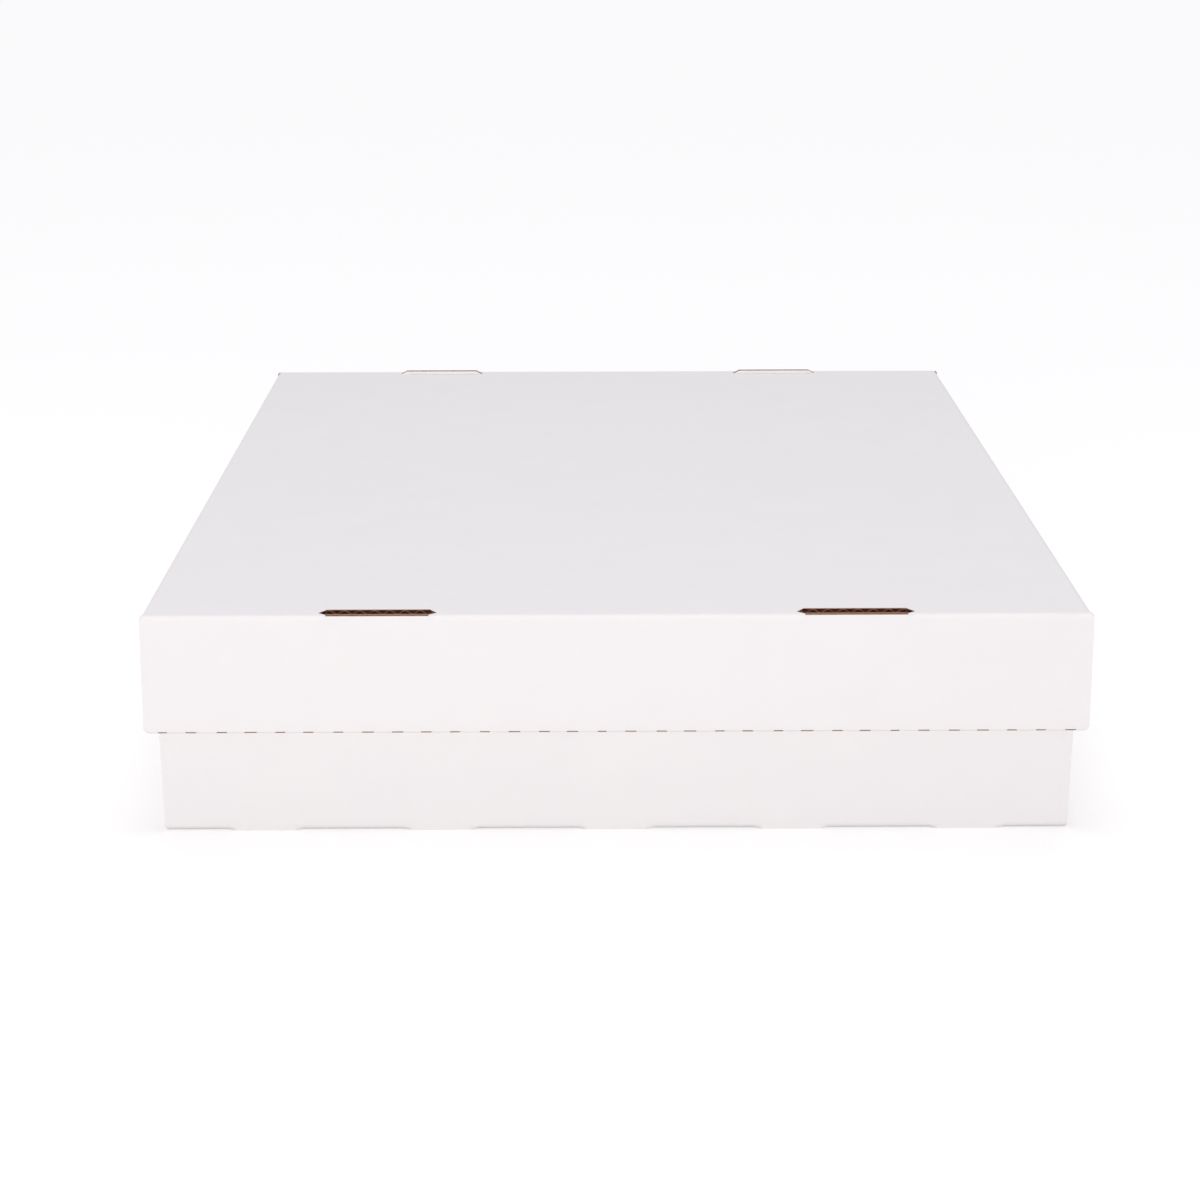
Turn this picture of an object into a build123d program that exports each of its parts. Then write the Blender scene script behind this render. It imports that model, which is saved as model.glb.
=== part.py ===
from build123d import *
import os

# Corrugated board, B flute: two liners with a wavy medium glued between them
board = 2.9
fold_radius = 2.0
rim_fold_radius = 1.2
ply_gap = 0.15
liner = 0.3
medium = 0.3
flute_pitch = 6.5
flute_crest = 1.2
flute_opening_depth = 9.0
edge_groove_depth = 1.6

# Perforated crease along the outer edge of each rolled-over rim
perforation_pitch = 12.7
perforation_cut = 5.6
perforation_width = 0.45
perforation_depth = 1.5
perforation_margin = 1.5

# Card rows inside the base
row_count = 5
row_width = 73.5
row_length = 439.2

# Base tray: floor on the table, walls up
base_height = 100.2
base_fold_radius = 2.7
base_panel_overhang = 1.25

# Lid tray: top panel up, skirt down over the base
lid_skirt = 53.6
lid_panel_overhang = 1.4
lid_end_taper = 0.9
lid_side_clearance = 0.4
lid_end_clearance = 0.5
lid_seat_gap = 0.2

# Corner flaps at the ends of the side walls, tucked between the plies of the end walls
flap_length = 57.0
flap_clearance = 0.4
side_edge_setback = 0.5
end_wall_corner_radius = 2.4
inner_panel_clearance = 0.5

# Lock slots cut along the panel folds, with points at both ends
slot_point = 3.4
slot_point_setback = 1.7
slot_clearance = 0.15
tab_side_clearance = 0.6
tab_chamfer = 3.4
tab_chamfer_rise = 2.0

# Base lock tabs: one under the middle of each row
base_slot_length = 33.0
base_slot_pitch = 77.75
base_tab_sink = 0.4

# Lid lock tabs: two at the front and two at the back
lid_slot_length = 50.8
lid_slot_offset = 102.4
lid_front_tab_sink = 2.75
lid_rear_tab_rise = 2.0

# Row dividers: one strip folded double, fold at the top, lugs at both ends
divider_fold_gap = 0.3
divider_height = 84.0
divider_end_clearance = 0.4
divider_seat_gap = 0.1
lug_height = 44.0
lug_base = 20.0
lug_reach = 5.2
lug_clearance = 0.3

# Worked-out sizes
fold_limit = 0.96 * board
wall_stack = 3 * board + 2 * ply_gap
divider_thickness = 2 * board + divider_fold_gap
base_inner_width = row_count * row_width + (row_count - 1) * divider_thickness
base_side_width = base_inner_width + 2 * board
base_end_width = base_side_width + 2 * base_panel_overhang
base_depth = row_length + 2 * wall_stack
lid_side_width = base_end_width + 2 * lid_side_clearance + 2 * board
lid_end_width = lid_side_width + 2 * lid_panel_overhang
lid_depth = base_depth + 2 * lid_end_clearance + 2 * wall_stack
lid_top = base_height + lid_seat_gap + board


def block(x_span, y_span, z_span):
    """A box between three pairs of coordinates."""
    size = [high - low for low, high in (x_span, y_span, z_span)]
    middle = [(high + low) / 2 for low, high in (x_span, y_span, z_span)]
    return Pos(*middle) * Box(*size)


def both_ends(shape):
    """A front feature and its mirror image at the back."""
    return [shape, mirror(shape, about=Plane.XZ)]


def both_sides(shape):
    """A right-hand feature and its mirror image on the left."""
    return [shape, mirror(shape, about=Plane.YZ)]


def rounded_corner(shape, axis, corners, radius):
    """Round the edges of a prism that run along axis through the given corners."""
    chosen = [
        edge
        for edge in shape.edges().filter_by(axis)
        if any((edge.center() - Vector(*corner)).length < radius / 4 for corner in corners)
    ]
    return fillet(chosen, min(radius, fold_limit))


def end_wall(width, side_width, depth, height, panel_radius, taper):
    """Front wall rolled over: outer panel up, rim strip across, inner panel down."""
    front = -depth / 2
    outer = block((-width / 2, width / 2), (front, front + board), (0, height))
    rim = block((-width / 2, width / 2), (front, front + wall_stack), (height - board, height))
    inner_half = side_width / 2 - board - inner_panel_clearance
    inner = block(
        (-inner_half, inner_half),
        (front + wall_stack - board, front + wall_stack),
        (board + flap_clearance, height - board),
    )
    wall = outer + rim
    wall = rounded_corner(wall, Axis.X, [(0, front, 0)], panel_radius)
    wall = rounded_corner(wall, Axis.X, [(0, front, height)], rim_fold_radius)
    wall = rounded_corner(wall, Axis.X, [(0, front + wall_stack, height)], rim_fold_radius)
    outline = Polyline(
        (-width / 2 + taper, 0), (width / 2 - taper, 0), (width / 2, height - wall_stack), (width / 2, height),
        (-width / 2, height), (-width / 2, height - wall_stack), close=True
    )
    outline = make_face(outline)
    corners = outline.vertices().group_by(Axis.Y)
    outline = fillet(corners[0] + corners[-1], min(end_wall_corner_radius, fold_limit))
    plane = Plane(origin=(0, front + wall_stack, 0), x_dir=(1, 0, 0), z_dir=(0, -1, 0))
    trimmed = extrude(plane * outline, amount=wall_stack)
    return (wall & trimmed) + inner


def side_wall(side_width, depth, height, panel_radius):
    """Right-hand wall: a single ply folded up from the panel, with its edge notched at both ends."""
    right = side_width / 2
    run = depth / 2 - board - ply_gap - fold_radius
    wall = block((right - board, right), (-run, run), (0, height - side_edge_setback))
    wall += block((right - board, right), (-depth / 2 + board, depth / 2 - board), (0, board))
    wall = rounded_corner(wall, Axis.Y, [(right, 0, 0)], panel_radius)
    notch_start = depth / 2 - wall_stack - flap_clearance
    notch_floor = height - board - flap_clearance
    for notch in both_ends(block((right - 2 * board, right + board), (-depth, -notch_start),
                                 (notch_floor, height + board))):
        wall = wall - notch
    return wall


def corner_flap(side_width, depth, height):
    """Flap folded in from the front end of the right-hand wall, between the plies of the end wall."""
    right = side_width / 2
    front = -depth / 2 + board + ply_gap
    levels = (board + flap_clearance, height - board - flap_clearance)
    reach = 2 * fold_radius + board
    upright = block((right - board, right), (front, front + reach), levels)
    leaf = block((right - flap_length, right), (front, front + board), levels)
    middle = sum(levels) / 2
    return rounded_corner(upright + leaf, Axis.Z, [(right, front, middle)], fold_radius)


def slot_outlines(length, depth):
    """Lock slot seen from below, pointed at both ends: the opening, and the outer panel's cut edge."""
    front = -depth / 2
    near = front + board
    far = front + wall_stack + slot_clearance
    point = near + slot_point_setback
    half = length / 2
    flat = half - slot_point
    near_flat = flat + slot_point * (near - front) / (point - front)
    opening = Polyline((-half, point), (-flat, far), (flat, far), (half, point),
                       (near_flat, near), (-near_flat, near), close=True)
    cut_edge = Polyline((-flat, front), (flat, front), (near_flat, near), (-near_flat, near), close=True)
    return make_face(opening), make_face(cut_edge)


def lock_slot(centre, length, depth, panel_radius):
    """The slot through the panel, and the cut edge it leaves on the outer panel of the wall."""
    opening, cut_edge = slot_outlines(length, depth)
    cutter = extrude(Plane.XY.offset(-board) * opening, amount=2 * board + flap_clearance)
    cut_edge = extrude(cut_edge, amount=panel_radius)
    return Pos(centre, 0, 0) * cutter, Pos(centre, 0, 0) * cut_edge


def lock_tab(centre, length, depth, end_level):
    """Tab on the free edge of the inner panel, with chamfered corners, reaching down to end_level."""
    front = -depth / 2
    half = length / 2 - tab_side_clearance
    root = board + flap_clearance
    shoulder = end_level + min(tab_chamfer_rise, root - end_level)
    flat = half - tab_chamfer
    outline = Polyline(
        (-half, root + board), (-half, shoulder), (-flat, end_level),
        (flat, end_level), (half, shoulder), (half, root + board), close=True
    )
    plane = Plane(origin=(centre, front + wall_stack, 0), x_dir=(1, 0, 0), z_dir=(0, -1, 0))
    return extrude(plane * make_face(outline), amount=board)


def open_flutes(edge_plane, span):
    """The wavy hollows that a cut edge shows, on both sides of the medium, opened a little way in."""
    half_height = board / 2 - liner
    crest = medium - half_height
    narrow = flute_crest / 2
    wide = (flute_pitch - flute_crest - medium) / 2
    hollows = []
    count = int(span / (flute_pitch / 2)) - 1
    for index in range(count):
        middle = (index - (count - 1) / 2) * flute_pitch / 2
        side = 1 if index % 2 == 0 else -1
        outline = Polyline(
            (middle - wide, side * half_height), (middle - narrow, side * crest),
            (middle + narrow, side * crest), (middle + wide, side * half_height), close=True
        )
        hollows.append(extrude(edge_plane * make_face(outline), amount=flute_opening_depth))
    return hollows


def edge_grooves(width, side_width, depth, height):
    """Cut edges that run along the flutes: the hollow between the liners lies open as a groove."""
    right = side_width / 2
    half_run = depth / 2 - wall_stack - flap_clearance - liner
    free_edge = height - side_edge_setback
    wall_groove = block((right - board + liner, right - liner), (-half_run, half_run),
                        (free_edge - edge_groove_depth, free_edge + board))
    front = -depth / 2
    panel_groove = block((width / 2 - edge_groove_depth, width / 2 + board),
                         (front + liner, front + board - liner),
                         (end_wall_corner_radius + board, height - end_wall_corner_radius - board))
    grooves = both_sides(wall_groove)
    for groove in both_sides(panel_groove):
        grooves += both_ends(groove)
    return grooves


def perforation(width, depth, height):
    """Short slits along the outer crease of the front rim, opened by the fold."""
    front = -depth / 2
    count = int((width - 2 * perforation_margin) / perforation_pitch)
    reach = perforation_depth + rim_fold_radius
    slit = Rot(45, 0, 0) * Box(perforation_cut, perforation_width, 2 * reach)
    return [
        Pos((index - (count - 1) / 2) * perforation_pitch, front, height) * slit
        for index in range(count)
    ]


def folded_tray(width, side_width, depth, height, panel_radius, taper=0):
    """One die-cut sheet folded up: panel, side walls, corner flaps and rolled-over end walls."""
    flat_half = side_width / 2 - board
    tray = block((-flat_half, flat_half), (-depth / 2 + board, depth / 2 - board), (0, board))
    for wall in both_ends(end_wall(width, side_width, depth, height, panel_radius, taper)):
        tray = tray + wall
    for wall in both_sides(side_wall(side_width, depth, height, panel_radius)):
        tray = tray + wall
    for flap in both_ends(corner_flap(side_width, depth, height)):
        for each in both_sides(flap):
            tray = tray + each
    return tray - edge_grooves(width, side_width, depth, height)


def lock_flutes(centre, length, depth, end_level):
    """Hollows of the cut edges at one lock: outer panel, far side of the slot, and end of the tab."""
    front = -depth / 2
    across = (1, 0, 0)
    span = length - 2 * slot_point
    outer_edge = Plane(origin=(centre, front + board / 2, 0), x_dir=across, z_dir=(0, 0, 1))
    far_side = Plane(origin=(centre, front + wall_stack, board / 2), x_dir=across, z_dir=(0, 1, 0))
    tab_middle = front + wall_stack - board / 2
    tab_end = Plane(origin=(centre, tab_middle, end_level), x_dir=across, z_dir=(0, 0, 1))
    tab_span = length - 2 * tab_side_clearance - 2 * tab_chamfer
    return open_flutes(outer_edge, span) + open_flutes(far_side, span) + open_flutes(tab_end, tab_span)


def add_locks(tray, centres, length, depth, panel_radius, front_level, back_level):
    """Cut the slots along both end folds and put the tabs of the inner panels into them."""
    hollows = []
    for centre in centres:
        cutter, cut_edge = lock_slot(centre, length, depth, panel_radius)
        for piece in both_ends(cutter):
            tray = tray - piece
        for piece in both_ends(cut_edge):
            tray = tray + piece
        tray = tray + lock_tab(centre, length, depth, front_level)
        tray = tray + mirror(lock_tab(centre, length, depth, back_level), about=Plane.XZ)
        hollows += lock_flutes(centre, length, depth, front_level)
        hollows += [
            mirror(hollow, about=Plane.XZ) for hollow in lock_flutes(centre, length, depth, back_level)
        ]
    return tray - hollows


divider_pitch = row_width + divider_thickness
divider_centres = [(index - (row_count - 2) / 2) * divider_pitch for index in range(row_count - 1)]


def box_base():
    """Lower tray, with slots in the inner panels for the lugs of the dividers."""
    tray = folded_tray(base_end_width, base_side_width, base_depth, base_height, base_fold_radius)
    centres = [(index - (row_count - 1) / 2) * base_slot_pitch for index in range(row_count)]
    tray = add_locks(tray, centres, base_slot_length, base_depth, base_fold_radius,
                     base_tab_sink, base_tab_sink)
    half_slot = divider_thickness / 2 + lug_clearance
    inner_face = -base_depth / 2 + wall_stack
    for centre in divider_centres:
        lug_slot = block(
            (centre - half_slot, centre + half_slot),
            (inner_face - board - ply_gap, inner_face + ply_gap),
            (lug_base - lug_clearance, lug_base + lug_height + lug_clearance),
        )
        for piece in both_ends(lug_slot):
            tray = tray - piece
    return tray


def box_lid():
    """Upper tray, folded like the base and turned over."""
    height = lid_skirt
    tray = folded_tray(lid_end_width, lid_side_width, lid_depth, height, fold_radius, lid_end_taper)
    tray = add_locks(tray, [-lid_slot_offset, lid_slot_offset], lid_slot_length, lid_depth, fold_radius,
                     lid_front_tab_sink, -lid_rear_tab_rise)
    slits = perforation(lid_end_width, lid_depth, height)
    tray = tray - slits
    tray = tray - [mirror(slit, about=Plane.XZ) for slit in slits]
    return Pos(0, 0, lid_top) * (Rot(0, 180, 0) * tray)


def row_divider(centre):
    """Strip folded double over its top edge, standing on the floor with its lugs in the end walls."""
    half = divider_thickness / 2
    run = row_length / 2 - divider_end_clearance
    low = board + divider_seat_gap
    high = low + divider_height
    strip = block((-half, half), (-run, run), (low, high))
    strip = rounded_corner(strip, Axis.Y, [(-half, 0, high), (half, 0, high)], half - divider_fold_gap / 2)
    lugs = block((-half, half), (-run - lug_reach, run + lug_reach), (lug_base, lug_base + lug_height))
    slit = block((-divider_fold_gap / 2, divider_fold_gap / 2), (-row_length, row_length),
                 (0, high - board))
    return Pos(centre, 0, 0) * (strip + lugs - slit)


os.makedirs("parts", exist_ok=True)
export_step(box_base(), "parts/box_base.step")
export_step(box_lid(), "parts/box_lid.step")
for number, centre in enumerate(divider_centres, start=1):
    export_step(row_divider(centre), f"parts/row_divider_{number}.step")
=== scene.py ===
from math import copysign, cos, pi, radians, sin
from types import SimpleNamespace

import bmesh
import bpy
from mathutils import Matrix, Vector


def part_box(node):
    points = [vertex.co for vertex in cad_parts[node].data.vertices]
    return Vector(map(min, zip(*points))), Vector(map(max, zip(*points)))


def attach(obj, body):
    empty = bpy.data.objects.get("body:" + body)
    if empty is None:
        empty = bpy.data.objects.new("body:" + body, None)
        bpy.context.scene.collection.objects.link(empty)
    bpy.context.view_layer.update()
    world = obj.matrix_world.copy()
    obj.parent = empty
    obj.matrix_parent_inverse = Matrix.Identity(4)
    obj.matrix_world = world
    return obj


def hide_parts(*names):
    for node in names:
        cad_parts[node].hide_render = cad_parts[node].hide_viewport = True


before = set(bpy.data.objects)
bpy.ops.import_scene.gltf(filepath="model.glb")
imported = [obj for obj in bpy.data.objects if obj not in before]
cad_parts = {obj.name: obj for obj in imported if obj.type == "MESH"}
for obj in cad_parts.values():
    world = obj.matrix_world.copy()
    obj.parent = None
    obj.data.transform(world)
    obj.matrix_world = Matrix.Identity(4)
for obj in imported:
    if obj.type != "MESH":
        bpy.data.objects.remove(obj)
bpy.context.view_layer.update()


# Paperboard finishes. The sheet is corrugated board with a white-top liner outside, a brown
# kraft liner inside and a darker wavy medium between them. Every piece is cut from it, so
# the three finishes and the effects that they share are made first.

PAPER_SHEEN = 0.3
FIBRE_HEIGHT = 0.0001


def new_effect(name, inputs, outputs):
    """An empty shader node group with the given sockets, and its two end nodes."""
    effect = bpy.data.node_groups.new(name, "ShaderNodeTree")
    for label, kind, default in inputs:
        socket = effect.interface.new_socket(name=label, in_out="INPUT", socket_type=kind)
        if default is not None:
            socket.default_value = default
    for label, kind in outputs:
        effect.interface.new_socket(name=label, in_out="OUTPUT", socket_type=kind)
    entry = effect.nodes.new("NodeGroupInput")
    leave = effect.nodes.new("NodeGroupOutput")
    return effect, entry, leave


def add_node(tree, kind, settings=None, **links):
    """A node with its settings, its inputs filled from sockets or plain values; _6 is input number 6."""
    node = tree.nodes.new(kind)
    for name, value in (settings or {}).items():
        setattr(node, name, value)
    for name, value in links.items():
        key = int(name[1:]) if name[1:].isdigit() else name
        socket = node.inputs[key]
        if isinstance(value, bpy.types.NodeSocket):
            tree.links.new(value, socket)
        else:
            socket.default_value = value
    return node


def paper_fibre_effect():
    """Cloudy tone and short fibres of paper, which run along the sheet."""
    clouds_per_metre = 38.0
    fibres_across = 900.0
    fibres_along = 260.0
    effect, entry, leave = new_effect(
        "paper_fibre",
        [("Tone", "NodeSocketColor", (0.8, 0.8, 0.8, 1.0)),
         ("Dark Tone", "NodeSocketColor", (0.7, 0.7, 0.7, 1.0)),
         ("Cloud", "NodeSocketFloat", 0.5),
         ("Fibre", "NodeSocketFloat", 0.5)],
        [("Color", "NodeSocketColor"), ("Height", "NodeSocketFloat")],
    )
    place = add_node(effect, "ShaderNodeTexCoord").outputs["Object"]
    cloud = add_node(effect, "ShaderNodeTexNoise", Vector=place, Scale=clouds_per_metre,
                     Detail=4.0, Roughness=0.55)
    long_way = add_node(effect, "ShaderNodeMapping", Vector=place,
                        Scale=(fibres_across, fibres_along, fibres_across))
    fibre = add_node(effect, "ShaderNodeTexNoise", Vector=long_way.outputs["Vector"], Scale=1.0,
                     Detail=3.0, Roughness=0.6)
    cloud_part = add_node(effect, "ShaderNodeMath", {"operation": "MULTIPLY"},
                          _0=cloud.outputs["Fac"], _1=entry.outputs["Cloud"])
    fibre_part = add_node(effect, "ShaderNodeMath", {"operation": "MULTIPLY"},
                          _0=fibre.outputs["Fac"], _1=entry.outputs["Fibre"])
    both = add_node(effect, "ShaderNodeMath", {"operation": "ADD", "use_clamp": True},
                    _0=cloud_part.outputs[0], _1=fibre_part.outputs[0])
    tone = add_node(effect, "ShaderNodeMix", {"data_type": "RGBA"}, _0=both.outputs[0],
                    _6=entry.outputs["Tone"], _7=entry.outputs["Dark Tone"])
    effect.links.new(tone.outputs[2], leave.inputs["Color"])
    effect.links.new(fibre.outputs["Fac"], leave.inputs["Height"])
    return effect


PAPER_FIBRE = paper_fibre_effect()


def paper_finish(name, tone, dark_tone, cloud, fibre, roughness, bump):
    """One paper surface, from its light and dark tones and how strong its grain is."""
    finish = bpy.data.materials.new(name)
    finish.use_nodes = True
    tree = finish.node_tree
    shader = tree.nodes["Principled BSDF"]
    shader.inputs["Roughness"].default_value = roughness
    shader.inputs["Specular IOR Level"].default_value = PAPER_SHEEN
    grain = add_node(tree, "ShaderNodeGroup", {"node_tree": PAPER_FIBRE}, **{
        "Tone": tone, "Dark Tone": dark_tone, "Cloud": cloud, "Fibre": fibre,
    })
    tree.links.new(grain.outputs["Color"], shader.inputs["Base Color"])
    relief = add_node(tree, "ShaderNodeBump", Height=grain.outputs["Height"], Strength=bump,
                      Distance=FIBRE_HEIGHT)
    tree.links.new(relief.outputs["Normal"], shader.inputs["Normal"])
    return finish


WHITE_LINER = paper_finish("white_liner", tone=(0.89, 0.88, 0.885, 1), dark_tone=(0.85, 0.84, 0.85, 1),
                           cloud=0.7, fibre=0.3, roughness=0.75, bump=0.15)
KRAFT_LINER = paper_finish("kraft_liner", tone=(0.56, 0.37, 0.28, 1), dark_tone=(0.46, 0.29, 0.21, 1),
                           cloud=0.7, fibre=0.5, roughness=0.85, bump=0.3)
KRAFT_MEDIUM = paper_finish("kraft_medium", tone=(0.52, 0.27, 0.19, 1), dark_tone=(0.42, 0.20, 0.14, 1),
                            cloud=0.6, fibre=0.5, roughness=0.9, bump=0.3)
BOARD_FINISHES = [WHITE_LINER, KRAFT_LINER, KRAFT_MEDIUM]
WHITE, KRAFT, FLUTES = range(len(BOARD_FINISHES))


# Box base. A tray folded from one die-cut sheet: side walls turned up, corner flaps turned
# in, and each end wall rolled over them double, until the tabs on its free edge lock into
# slots cut along the bottom fold.

BOARD = 0.0029
LINER = 0.0003
MEDIUM = 0.00026
FLUTE_PITCH = 0.0065
FLAP_FOLD = 0.002
RIM_FOLD = 0.0012
PLY_GAP = 0.00015
FLAP_CLEARANCE = 0.0004
FLAP_LENGTH = 0.057
WALL_STACK = 3 * BOARD + 2 * PLY_GAP
PLY_BOTTOM = BOARD + FLAP_CLEARANCE
SIDE_EDGE_SETBACK = 0.0005
INNER_PANEL_CLEARANCE = 0.0005
END_WALL_CORNER = 0.0024
PANEL_CORNER = 0.0012
CREASE_ZONE = 0.0042
CRUSHED_CREASE = 0.3

SLOT_POINT = 0.0034
SLOT_TIP = BOARD + 0.0017
SLOT_FAR = WALL_STACK + 0.00015
SLIT_REACH = 0.6 * RIM_FOLD
SLIT_DROP = 0.75 * RIM_FOLD
TAB_SIDE_CLEARANCE = 0.0006
TAB_CHAMFER = 0.0034
TAB_CHAMFER_RISE = 0.002

FOLD_STEPS = 6
CORNER_STEPS = 6
FLUTE_STEPS = 8
TINY = 0.00001
WELD = 0.000002
SHARP_EDGE = radians(40)
FLAT_ENOUGH = 1.1


def extend(bm, vert, place):
    """A new vertex at a place, joined to the last one by an edge."""
    grown = bmesh.ops.extrude_vert_indiv(bm, verts=[vert])["verts"][0]
    grown.co = place
    return grown


def draw_path(bm, corners, radii):
    """A chain of edges through the corners, each square corner rounded to its radius by a spin."""
    known = set(bm.edges)
    corners = [Vector(corner) for corner in corners]
    vert = bm.verts.new(corners[0])
    for before, corner, after, radius in zip(corners, corners[1:], corners[2:], radii[1:]):
        ahead = (corner - before).normalized()
        aside = (after - corner).normalized()
        vert = extend(bm, vert, corner - ahead * radius)
        if radius > 0:
            centre = corner - ahead * radius + aside * radius
            turned = bmesh.ops.spin(bm, geom=[vert], cent=centre, axis=ahead.cross(aside),
                                    angle=pi / 2, steps=FOLD_STEPS)
            vert = turned["geom_last"][0]
    extend(bm, vert, corners[-1])
    return [edge for edge in bm.edges if edge not in known]


def sweep(bm, edges, stations, direction):
    """Carry a chain of edges from station to station, one strip of faces for each step."""
    verts = list({vert for edge in edges for vert in edge.verts})
    bmesh.ops.translate(bm, verts=verts, vec=direction * stations[0])
    for station, following in zip(stations, stations[1:]):
        grown = bmesh.ops.extrude_edge_only(bm, edges=edges)["geom"]
        verts = [part for part in grown if isinstance(part, bmesh.types.BMVert)]
        edges = [part for part in grown if isinstance(part, bmesh.types.BMEdge)]
        bmesh.ops.translate(bm, verts=verts, vec=direction * (following - station))


def cut_away(bm, is_waste):
    """Die-cut the sheet: drop every face whose middle is waste."""
    waste = [face for face in bm.faces if is_waste(face.calc_center_median())]
    bmesh.ops.delete(bm, geom=waste, context="FACES")


def in_order(marks):
    """Marks sorted, each once."""
    return sorted({round(mark, 6) for mark in marks})


def flute_marks(low, high):
    """Marks between two limits, close enough to draw each wave of the medium."""
    step = FLUTE_PITCH / FLUTE_STEPS
    return [index * step for index in range(int(low / step) - 1, int(high / step) + 2)
            if low + TINY < index * step < high - TINY]


def long_rows(inset):
    """Distances from the end plane at which panel and side wall have a row of vertices."""
    return [BOARD + PLY_GAP + max(FLAP_FOLD, inset), BOARD + PLY_GAP + CREASE_ZONE,
            SLOT_FAR, WALL_STACK + FLAP_CLEARANCE]


def end_strip(bm, tray, inset, waved):
    """Panel and both rolled-over end walls as one surface at a depth inside the board."""
    half_depth = tray.depth / 2
    top = tray.height
    half_path = [
        (WALL_STACK - inset, PLY_BOTTOM, 0),
        *[(WALL_STACK - inset, level, 0) for level in tray.lug_levels],
        (WALL_STACK - inset, top - CREASE_ZONE, 0),
        (WALL_STACK - inset, top - BOARD, 0),
        (WALL_STACK - inset, top - inset, max(RIM_FOLD - inset, 0)),
        (WALL_STACK - CREASE_ZONE, top - inset, 0),
        (CREASE_ZONE, top - inset, 0),
        (inset, top - inset, max(RIM_FOLD - inset, 0)),
        (inset, top - CREASE_ZONE, 0),
        (inset, CREASE_ZONE, 0),
        (inset, inset, max(tray.fold - inset, 0)),
        (BOARD, inset, 0),
        *[(row, inset, 0) for row in long_rows(inset)],
    ]
    front = [(0, row - half_depth, level) for row, level, radius in half_path]
    back = [(0, half_depth - row, level) for row, level, radius in reversed(half_path)]
    radii = [radius for row, level, radius in half_path]
    half_width = tray.end_width / 2
    flat = slot_flat(tray)
    marks = [half_width - END_WALL_CORNER * (1 - sin(pi / 2 * step / CORNER_STEPS))
             for step in range(CORNER_STEPS + 1)]
    marks += [tray.side_width / 2 - BOARD, tray.side_width / 2 - max(tray.fold, inset),
              tray.side_width / 2 - BOARD - INNER_PANEL_CLEARANCE]
    for centre in tray.slots:
        for half in (tray.slot_length / 2, flat, tray.tab_half, tray.tab_half - TAB_CHAMFER):
            marks += [centre - half, centre + half]
    for centre in tray.lug_slots:
        marks += [centre - tray.lug_slot_half, centre + tray.lug_slot_half]
    for cut in tray.slits:
        marks += cut
    if waved:
        marks += flute_marks(-half_width, half_width)
    marks += [-mark for mark in marks]
    chain = draw_path(bm, front + back, radii + radii[::-1])
    sweep(bm, chain, in_order(marks), Vector((1, 0, 0)))

    fold_edge = max(tray.fold, inset)

    def is_waste(middle):
        aside = abs(middle.x)
        row = half_depth - abs(middle.y)
        if middle.z < fold_edge + TINY:
            past_side = row > BOARD and aside > tray.side_width / 2 - fold_edge
            return past_side or row < SLOT_FAR and any(abs(middle.x - centre) < flat for centre in tray.slots)
        if row > WALL_STACK / 2 and middle.z < top - BOARD:
            in_lug_slot = any(abs(middle.x - centre) < tray.lug_slot_half for centre in tray.lug_slots)
            past_ply = aside > tray.side_width / 2 - BOARD - INNER_PANEL_CLEARANCE
            return past_ply or in_lug_slot and tray.lug_levels[0] < middle.z < tray.lug_levels[1]
        on_crease = row - inset < SLIT_REACH and top - inset - middle.z < SLIT_DROP
        return on_crease and any(low < middle.x < high for low, high in tray.slits)

    cut_away(bm, is_waste)
    point_slots(bm, tray, inset)
    lengthen_plies(bm, tray, inset)
    square_slot_ends(bm, tray, inset)


def slot_flat(tray):
    """Half the length of a slot between its pointed ends."""
    return tray.slot_length / 2 - SLOT_POINT


def point_slots(bm, tray, inset):
    """Cut the slots' ends to a point, along two slanting lines."""
    half = tray.slot_length / 2
    flat = slot_flat(tray)
    fold_edge = max(tray.fold, inset)
    for centre in tray.slots:
        for end in (-1, 1):
            for side in (-1, 1):
                def cell_faces():
                    return [face for face in bm.faces
                            if flat < side * (face.calc_center_median().x - centre) < half
                            and fold_edge < tray.depth / 2 - end * face.calc_center_median().y < SLOT_FAR
                            and face.calc_center_median().z < inset + TINY]
                tip = Vector((centre + side * half, end * (tray.depth / 2 - SLOT_TIP), 0))
                for row in (fold_edge, SLOT_FAR):
                    root = Vector((centre + side * flat, end * (tray.depth / 2 - row), 0))
                    faces = cell_faces()
                    edges = list({edge for face in faces for edge in face.edges})
                    verts = list({vert for face in faces for vert in face.verts})
                    bmesh.ops.bisect_plane(bm, geom=verts + edges + faces, dist=WELD / 2, plane_co=tip,
                                           plane_no=(tip - root).cross(Vector((0, 0, 1))))
                waste = []
                for face in cell_faces():
                    middle = face.calc_center_median()
                    share = (side * (middle.x - centre) - flat) / SLOT_POINT
                    row = tray.depth / 2 - end * middle.y
                    near_line = fold_edge + (SLOT_TIP - fold_edge) * share
                    if near_line < row < SLOT_FAR + (SLOT_TIP - SLOT_FAR) * share:
                        waste.append(face)
                bmesh.ops.delete(bm, geom=waste, context="FACES")


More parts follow.
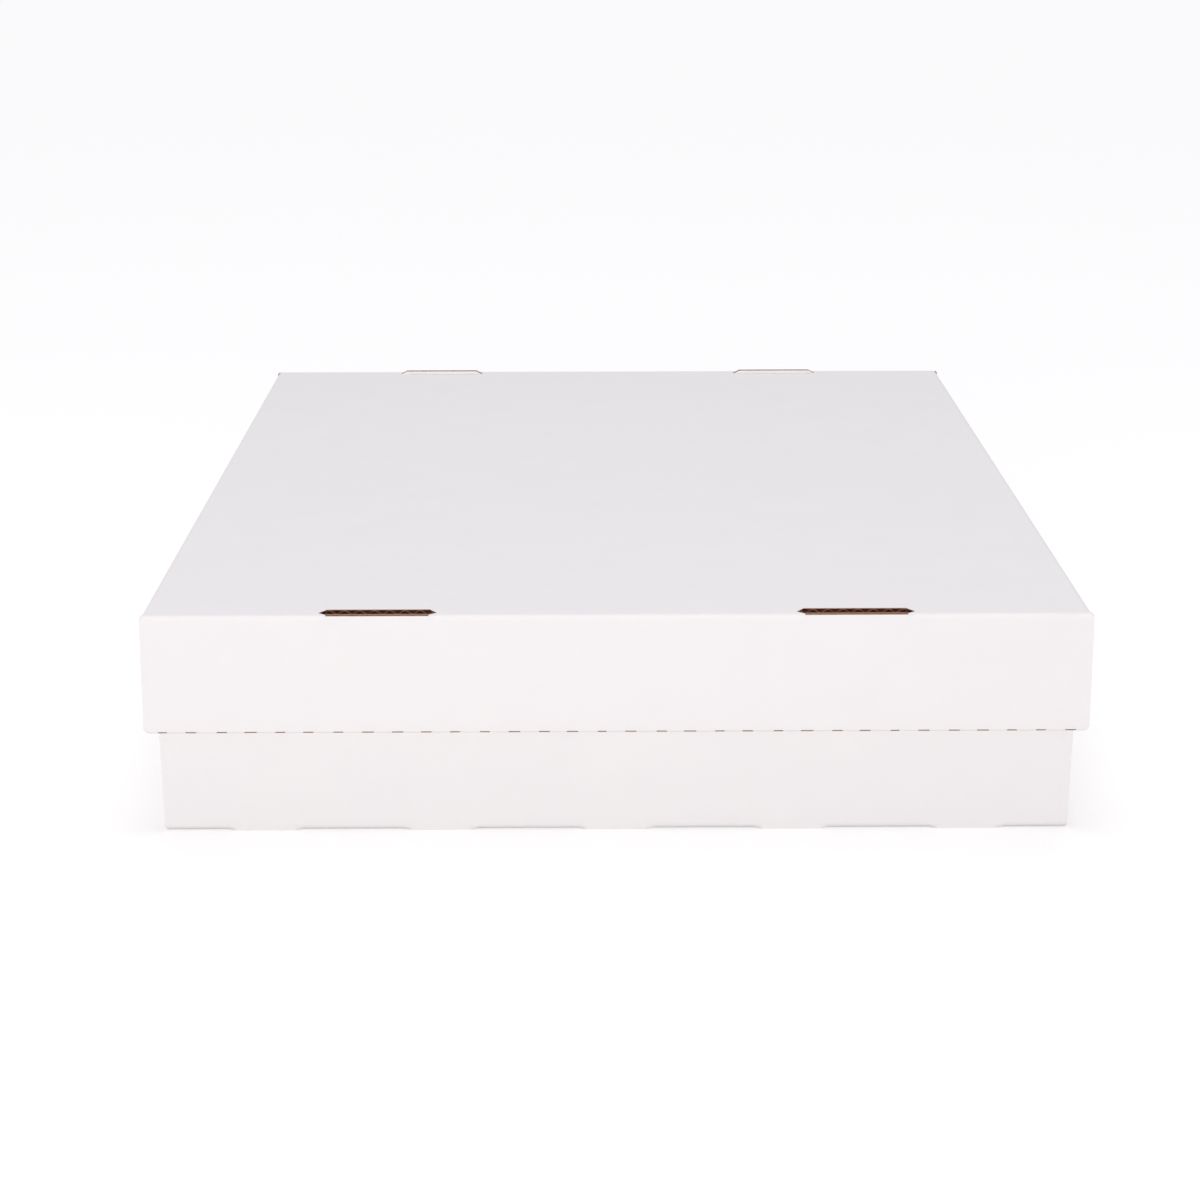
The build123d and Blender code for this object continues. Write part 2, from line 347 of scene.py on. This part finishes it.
def lengthen_plies(bm, tray, inset):
    """Bring the outer ply's cut edge down to the table line at each slot, and the tabs down into it."""
    fold_edge = max(tray.fold, inset)

    def grow(is_root, reach):
        roots = [edge for edge in bm.edges
                 if edge.is_boundary and all(is_root(vert.co) for vert in edge.verts)]
        grown = bmesh.ops.extrude_edge_only(bm, edges=roots)["geom"]
        for vert in grown:
            if isinstance(vert, bmesh.types.BMVert):
                vert.co.z = reach(vert.co)

    def outer_foot(place):
        on_ply = tray.depth / 2 - abs(place.y) < inset + TINY and abs(place.z - fold_edge) < TINY
        in_slot = any(abs(place.x - centre) < slot_flat(tray) + TINY for centre in tray.slots)
        past_side = inset == BOARD and abs(place.x) > tray.side_width / 2 - BOARD - TINY
        return on_ply and (in_slot or past_side)

    grow(outer_foot, lambda place: 0 if abs(place.x) < tray.side_width / 2 - BOARD - TINY else LINER)
    for centre in tray.slots:
        for end, level in ((-1, tray.front_tab_level), (1, tray.back_tab_level)):
            rise = min(TAB_CHAMFER_RISE, PLY_BOTTOM - level)

            def ply_foot(place):
                row = tray.depth / 2 - end * place.y
                on_edge = abs(place.z - PLY_BOTTOM) < TINY and row < WALL_STACK + TINY
                return on_edge and abs(place.x - centre) < tray.tab_half + TINY

            def tab_end(place):
                past = abs(place.x - centre) - (tray.tab_half - TAB_CHAMFER)
                return level + rise * max(past, 0) / TAB_CHAMFER

            grow(ply_foot, tab_end)


def square_slot_ends(bm, tray, inset):
    """Turn the rounded fold sharp at each end of a slot, where it meets the ply's straight cut edge."""
    radius = tray.fold - inset
    for vert in bm.verts:
        across = tray.fold - (tray.depth / 2 - abs(vert.co.y))
        up = tray.fold - vert.co.z
        aside = min((vert.co.x - centre for centre in tray.slots), key=abs)
        past_end = abs(aside) - slot_flat(tray)
        on_fold = -TINY < min(across, up) and TINY < max(across, up) < radius - TINY
        if on_fold and -TINY < past_end < SLOT_POINT:
            stretch = (1 - past_end / SLOT_POINT) * (radius / max(across, up) - 1)
            vert.co.y += copysign(across * stretch, vert.co.y)
            vert.co.z -= up * stretch
            if past_end < TINY:
                vert.co.x += copysign(TINY, aside)


def trim_end_walls(bm, tray, inset):
    """Narrow the end walls towards the panel, and press their corners round."""
    half_width = tray.end_width / 2
    side_fold = tray.side_width / 2 - max(tray.fold, inset)
    narrow_height = tray.height - WALL_STACK
    for vert in bm.verts:
        on_outer_ply = tray.depth / 2 - abs(vert.co.y) < BOARD + TINY
        narrowing = tray.taper * max(1 - vert.co.z / narrow_height, 0)
        past_side = abs(vert.co.x) - side_fold
        if on_outer_ply and past_side > 0:
            vert.co.x -= copysign(narrowing * past_side / (half_width - side_fold), vert.co.x)
        past_corner = abs(vert.co.x) - (half_width - narrowing)
        if vert.co.z > tray.height - BOARD:
            vert.co.z -= drop_at(past_corner, END_WALL_CORNER) * (1 - (tray.height - vert.co.z) / BOARD)
        elif on_outer_ply and vert.co.z < BOARD:
            vert.co.z += drop_at(past_corner, PANEL_CORNER) * (1 - vert.co.z / BOARD)


def drop_at(past_corner, radius):
    """How far a rounded corner has fallen away at a distance past the corner, below zero before it."""
    reach = min(max(past_corner + radius, 0), radius)
    return radius - (radius ** 2 - reach ** 2) ** 0.5


def side_strip(bm, tray, inset, side, waved):
    """One side wall with the corner flaps at its ends, as a surface at a depth inside the board."""
    half_depth = tray.depth / 2
    right = tray.side_width / 2
    flap = BOARD + PLY_GAP
    half_path = [
        (right - FLAP_LENGTH, flap + inset, 0),
        (right - CREASE_ZONE, flap + inset, 0),
        (right - inset, flap + inset, max(FLAP_FOLD - inset, 0)),
        *[(right - inset, row, 0) for row in long_rows(inset)],
    ]
    front = [(side * across, row - half_depth, 0) for across, row, radius in half_path]
    back = [(side * across, half_depth - row, 0) for across, row, radius in reversed(half_path)]
    radii = [radius for across, row, radius in half_path]
    fold_edge = max(tray.fold, inset)
    free_edge = tray.height - SIDE_EDGE_SETBACK
    flap_top = tray.height - BOARD - FLAP_CLEARANCE
    marks = [fold_edge, BOARD, PLY_BOTTOM, flap_top, free_edge]
    if waved:
        marks += flute_marks(fold_edge, free_edge)
    chain = draw_path(bm, front + back, radii + radii[::-1])
    sweep(bm, chain, in_order(marks), Vector((0, 0, 1)))

    def is_waste(middle):
        row = half_depth - abs(middle.y)
        below = middle.z < PLY_BOTTOM and row < long_rows(inset)[0]
        above = middle.z > flap_top and row < WALL_STACK + FLAP_CLEARANCE
        return below or above

    cut_away(bm, is_waste)
    if fold_edge < BOARD:
        run_to_end_wall(bm, tray, inset)
    hinge = [edge for edge in bm.edges
             if all(abs(vert.co.z - fold_edge) < TINY for vert in edge.verts)]
    verts = list({vert for edge in hinge for vert in edge.verts})
    if tray.fold > inset:
        bmesh.ops.spin(bm, geom=verts + hinge, cent=(side * (right - fold_edge), 0, fold_edge),
                       axis=(0, side, 0), angle=pi / 2, steps=FOLD_STEPS)


def run_to_end_wall(bm, tray, inset):
    """Carry the lowest part of the side wall on to the end walls, under the corner flaps."""
    for end in (-1, 1):
        start = end * (tray.depth / 2 - long_rows(inset)[0])
        stubs = [edge for edge in bm.edges if edge.is_boundary
                 and all(abs(vert.co.y - start) < TINY and vert.co.z < BOARD + TINY for vert in edge.verts)]
        grown = bmesh.ops.extrude_edge_only(bm, edges=stubs)["geom"]
        for vert in grown:
            if isinstance(vert, bmesh.types.BMVert):
                vert.co.y = end * (tray.depth / 2 - BOARD)


def ripple(bm, axis):
    """Push the middle surface into flutes along an axis, flattened where the board is creased."""
    bm.normal_update()
    swing = BOARD / 2 - LINER - MEDIUM / 2 - TINY
    for vert in bm.verts:
        spread = vert.calc_shell_factor()
        wave = swing * cos(2 * pi * vert.co[axis] / FLUTE_PITCH)
        if spread > FLAT_ENOUGH:
            wave *= CRUSHED_CREASE
        vert.co += vert.normal * spread * (wave + MEDIUM / 2)


def give_thickness(bm, thickness, outside):
    """Turn a surface into a thin closed sheet behind its face, which looks out of or into the tray."""
    bmesh.ops.remove_doubles(bm, verts=bm.verts, dist=WELD)
    bmesh.ops.recalc_face_normals(bm, faces=bm.faces)
    walls = [face for face in bm.faces if abs(face.normal.x) > 0.9]
    right_wall = max(walls, key=lambda face: face.calc_center_median().x)
    if (right_wall.normal.x > 0) != outside:
        bmesh.ops.reverse_faces(bm, faces=bm.faces)
    shown = bm.faces[:]
    bmesh.ops.solidify(bm, geom=shown, thickness=thickness)
    return shown


def gather(whole, part):
    """Move a finished layer into the piece it belongs to."""
    layer = bpy.data.meshes.new("layer")
    part.to_mesh(layer)
    part.free()
    whole.from_mesh(layer)
    bpy.data.meshes.remove(layer)


def board_piece(draw_layer, draw_medium):
    """The three layers of a folded piece: liner outside, liner inside, and the medium between."""
    whole = bmesh.new()
    for inset, outside, finish in ((0, True, WHITE), (BOARD, False, KRAFT)):
        layer = bmesh.new()
        draw_layer(layer, inset)
        shown = give_thickness(layer, LINER, outside)
        for face in layer.faces:
            face.material_index = KRAFT
        for face in shown:
            face.material_index = finish
        gather(whole, layer)
    for layer in draw_medium(BOARD / 2):
        bmesh.ops.solidify(layer, geom=layer.faces[:], thickness=MEDIUM)
        for face in layer.faces:
            face.material_index = FLUTES
        gather(whole, layer)
    return whole


def folded_tray(tray):
    """A whole tray, standing upright with its panel on the zero plane."""
    def draw_layer(layer, inset):
        end_strip(layer, tray, inset, False)
        trim_end_walls(layer, tray, inset)
        for side in (-1, 1):
            wall = bmesh.new()
            side_strip(wall, tray, inset, side, False)
            gather(layer, wall)

    def draw_medium(inset):
        layers = []
        for side, axis in ((0, 0), (-1, 2), (1, 2)):
            layer = bmesh.new()
            if side:
                side_strip(layer, tray, inset, side, True)
            else:
                end_strip(layer, tray, inset, True)
            bmesh.ops.remove_doubles(layer, verts=layer.verts, dist=WELD)
            bmesh.ops.recalc_face_normals(layer, faces=layer.faces)
            ripple(layer, axis)
            if not side:
                trim_end_walls(layer, tray, inset)
            layers.append(layer)
        return layers

    return board_piece(draw_layer, draw_medium)


def finish_piece(name, bm, body, node):
    """One piece of board as an object of its own, in place of its CAD node."""
    for edge in bm.edges:
        edge.smooth = edge.calc_face_angle(0) < SHARP_EDGE
    for face in bm.faces:
        face.smooth = True
    sheet = bpy.data.meshes.new(name)
    bm.to_mesh(sheet)
    bm.free()
    for finish in BOARD_FINISHES:
        sheet.materials.append(finish)
    piece = bpy.data.objects.new(name, sheet)
    bpy.context.scene.collection.objects.link(piece)
    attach(piece, body)
    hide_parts(node)
    return piece


def tab_half(slot_length):
    return slot_length / 2 - TAB_SIDE_CLEARANCE


base_low, base_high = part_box("box_base")
base_overhang = 0.00125
base_slot_length = 0.033
base_slot_pitch = 0.07775
row_count = 5
divider_thickness = 2 * BOARD + 0.0003
lug_base = 0.02
lug_top = 0.064
lug_clearance = 0.0003

base_end_width = base_high.x - base_low.x
base_side_width = base_end_width - 2 * base_overhang
inner_width = base_side_width - 2 * BOARD
divider_pitch = (inner_width + divider_thickness) / row_count
divider_centres = [(index - (row_count - 2) / 2) * divider_pitch for index in range(row_count - 1)]

base_tray = SimpleNamespace(
    end_width=base_end_width, side_width=base_side_width,
    depth=base_high.y - base_low.y, height=base_high.z - base_low.z, fold=0.0027, taper=0,
    slots=[(index - (row_count - 1) / 2) * base_slot_pitch for index in range(row_count)],
    slot_length=base_slot_length, tab_half=tab_half(base_slot_length),
    front_tab_level=0.0004, back_tab_level=0.0004,
    lug_slots=divider_centres, lug_slot_half=divider_thickness / 2 + lug_clearance,
    lug_levels=[lug_base - lug_clearance, lug_top + lug_clearance],
    slits=[],
)
finish_piece("box_base_board", folded_tray(base_tray), "base", "box_base")


# Row dividers. Four strips folded double over their top edge, standing between the card
# rows. A lug at each end sits in a slot in the inner ply of the end wall.

lug_reach = 0.0052


def folded_divider(low, high, run, lug_run):
    """A divider on the centre line, fold up, as thick as two boards and the gap between."""
    half = divider_thickness / 2
    fold = BOARD

    def strip(layer, inset, waved):
        half_path = [(-half + inset, low, 0), (-half + inset, lug_base, 0), (-half + inset, lug_top, 0),
                     (-half + inset, high - CREASE_ZONE, 0),
                     (-half + inset, high - inset, max(fold - inset, 0))]
        left = [(across, 0, level) for across, level, radius in half_path]
        right = [(-across, 0, level) for across, level, radius in reversed(half_path)]
        radii = [radius for across, level, radius in half_path]
        marks = [-lug_run, -run, run, lug_run]
        if waved:
            marks += flute_marks(-lug_run, lug_run)
        chain = draw_path(layer, left + right, radii + radii[::-1])
        sweep(layer, chain, in_order(marks), Vector((0, 1, 0)))
        cut_away(layer, lambda middle: abs(middle.y) > run and not lug_base < middle.z < lug_top)

    def draw_medium(inset):
        layer = bmesh.new()
        strip(layer, inset, True)
        bmesh.ops.remove_doubles(layer, verts=layer.verts, dist=WELD)
        bmesh.ops.recalc_face_normals(layer, faces=layer.faces)
        ripple(layer, 1)
        return [layer]

    return board_piece(lambda layer, inset: strip(layer, inset, False), draw_medium)


for number, centre in enumerate(divider_centres, start=1):
    node = f"row_divider_{number}"
    low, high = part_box(node)
    divider = folded_divider(low.z, high.z, run=high.y - lug_reach, lug_run=high.y)
    bmesh.ops.translate(divider, verts=divider.verts, vec=(centre, 0, 0))
    finish_piece(f"row_divider_board_{number}", divider, "base", node)


# Box lid. A second tray, folded the same way and turned over so that its skirt slides down
# around the base. Its front tabs stop inside their slots and its back tabs stand a little
# proud. A line of short slits along each rim helps the board to fold.

lid_low, lid_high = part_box("box_lid")
lid_overhang = 0.0014
lid_slot_length = 0.0508
lid_slot_offset = 0.1024
lid_tab_rise = 0.002
lid_top = lid_high.z - lid_tab_rise
slit_pitch = 0.0127
slit_count = 32
slit_length = 0.0046
slit_unevenness = 0.2


def slit(index):
    """Where one slit starts and ends; the dull rule that made them left none quite alike."""
    centre = (index - (slit_count - 1) / 2) * slit_pitch
    half = slit_length / 2
    return [centre - half * (1 + slit_unevenness * sin(5 * index)),
            centre + half * (1 + slit_unevenness * sin(3 * index))]


lid_end_width = lid_high.x - lid_low.x
lid_tray = SimpleNamespace(
    end_width=lid_end_width, side_width=lid_end_width - 2 * lid_overhang,
    depth=lid_high.y - lid_low.y, height=lid_top - lid_low.z, fold=0.002, taper=0.0009,
    slots=[-lid_slot_offset, lid_slot_offset],
    slot_length=lid_slot_length, tab_half=tab_half(lid_slot_length),
    front_tab_level=0.00275, back_tab_level=-lid_tab_rise,
    lug_slots=[], lug_slot_half=0, lug_levels=[],
    slits=[slit(index) for index in range(slit_count)],
)
lid = folded_tray(lid_tray)
bmesh.ops.rotate(lid, verts=lid.verts, cent=(0, 0, 0), matrix=Matrix.Rotation(pi, 3, "Y"))
bmesh.ops.translate(lid, verts=lid.verts, vec=(0, 0, lid_top))
finish_piece("box_lid_board", lid, "lid", "box_lid")


# Floor. A plain white sweep that keeps only the box's own contact shadow.

floor_size = 40.0
floor_tone = 0.65
floor_lift = 0.47
floor_mesh = bpy.data.meshes.new("floor")
bm = bmesh.new()
bmesh.ops.create_grid(bm, x_segments=1, y_segments=1, size=floor_size / 2)
bm.to_mesh(floor_mesh)
bm.free()
floor = bpy.data.objects.new("floor", floor_mesh)
bpy.context.scene.collection.objects.link(floor)

floor_white = bpy.data.materials.new("floor_white")
floor_white.use_nodes = True
tree = floor_white.node_tree
shader = tree.nodes["Principled BSDF"]
shader.inputs["Base Color"].default_value = (floor_tone, floor_tone, floor_tone, 1)
shader.inputs["Roughness"].default_value = 1.0
shader.inputs["Specular IOR Level"].default_value = 0.0
seen = add_node(tree, "ShaderNodeLightPath")
lift = add_node(tree, "ShaderNodeMath", {"operation": "MULTIPLY"}, _0=seen.outputs["Is Camera Ray"],
                _1=floor_lift)
tree.links.new(lift.outputs[0], shader.inputs["Emission Strength"])
shader.inputs["Emission Color"].default_value = (1, 1, 1, 1)
floor_mesh.materials.append(floor_white)


# Light. Soft daylight from all around, and one large soft source in front of the box.

daylight = (0.56, 0.542, 0.566, 1)
backdrop_white = (1, 1, 1, 1)

world = bpy.data.worlds.new("studio")
bpy.context.scene.world = world
world.use_nodes = True
tree = world.node_tree
sky = tree.nodes["Background"]
seen = add_node(tree, "ShaderNodeLightPath")
direct = add_node(tree, "ShaderNodeMath", {"operation": "MAXIMUM"},
                  _0=seen.outputs["Is Camera Ray"], _1=seen.outputs["Is Glossy Ray"])
tint = add_node(tree, "ShaderNodeMix", {"data_type": "RGBA"}, _0=direct.outputs[0],
                _6=daylight, _7=backdrop_white)
tree.links.new(tint.outputs[2], sky.inputs["Color"])
sky.inputs["Strength"].default_value = 1.0


def panel_light(name, energy, color, width, height, place, turn=(0, 0, 0)):
    """A flat, soft source."""
    lamp_data = bpy.data.lights.new(name, "AREA")
    lamp_data.shape = "RECTANGLE"
    lamp_data.size = width
    lamp_data.size_y = height
    lamp_data.energy = energy
    lamp_data.color = color
    lamp = bpy.data.objects.new(name, lamp_data)
    bpy.context.scene.collection.objects.link(lamp)
    lamp.location = place
    lamp.rotation_euler = turn


panel_light("front_light", energy=20.8, color=(1.0, 0.96, 0.92), width=1.4, height=0.8,
            place=(-0.2, -2.2, 0.41), turn=(radians(90), 0, 0))
panel_light("top_light", energy=1.4, color=(1.0, 1.0, 1.0), width=0.6, height=0.6, place=(0, -0.3, 1.2))

back_light_data = bpy.data.lights.new("back_light", "SUN")
back_light_data.energy = 0.7
back_light_data.angle = radians(50)
back_light = bpy.data.objects.new("back_light", back_light_data)
bpy.context.scene.collection.objects.link(back_light)
back_light.rotation_euler = (radians(-30), 0, 0)


# Camera. In front of the box and above it, at the photograph's angle.

camera_data = bpy.data.cameras.new("camera")
camera_data.sensor_width = 36.0
camera_data.lens = 69.99
camera = bpy.data.objects.new("camera", camera_data)
bpy.context.scene.collection.objects.link(camera)
bpy.context.scene.camera = camera
camera_pitch = radians(18.193)
camera_yaw = radians(-0.271)
camera_roll = radians(-0.095)
camera_place = (-0.0117, -1.1808, 0.4201)
camera.matrix_world = (
    Matrix.Translation(camera_place)
    @ Matrix.Rotation(camera_yaw, 4, "Z")
    @ Matrix.Rotation(pi / 2 - camera_pitch, 4, "X")
    @ Matrix.Rotation(camera_roll, 4, "Z")
)
camera_data.clip_end = 100.0

bpy.context.scene.view_settings.view_transform = "Standard"
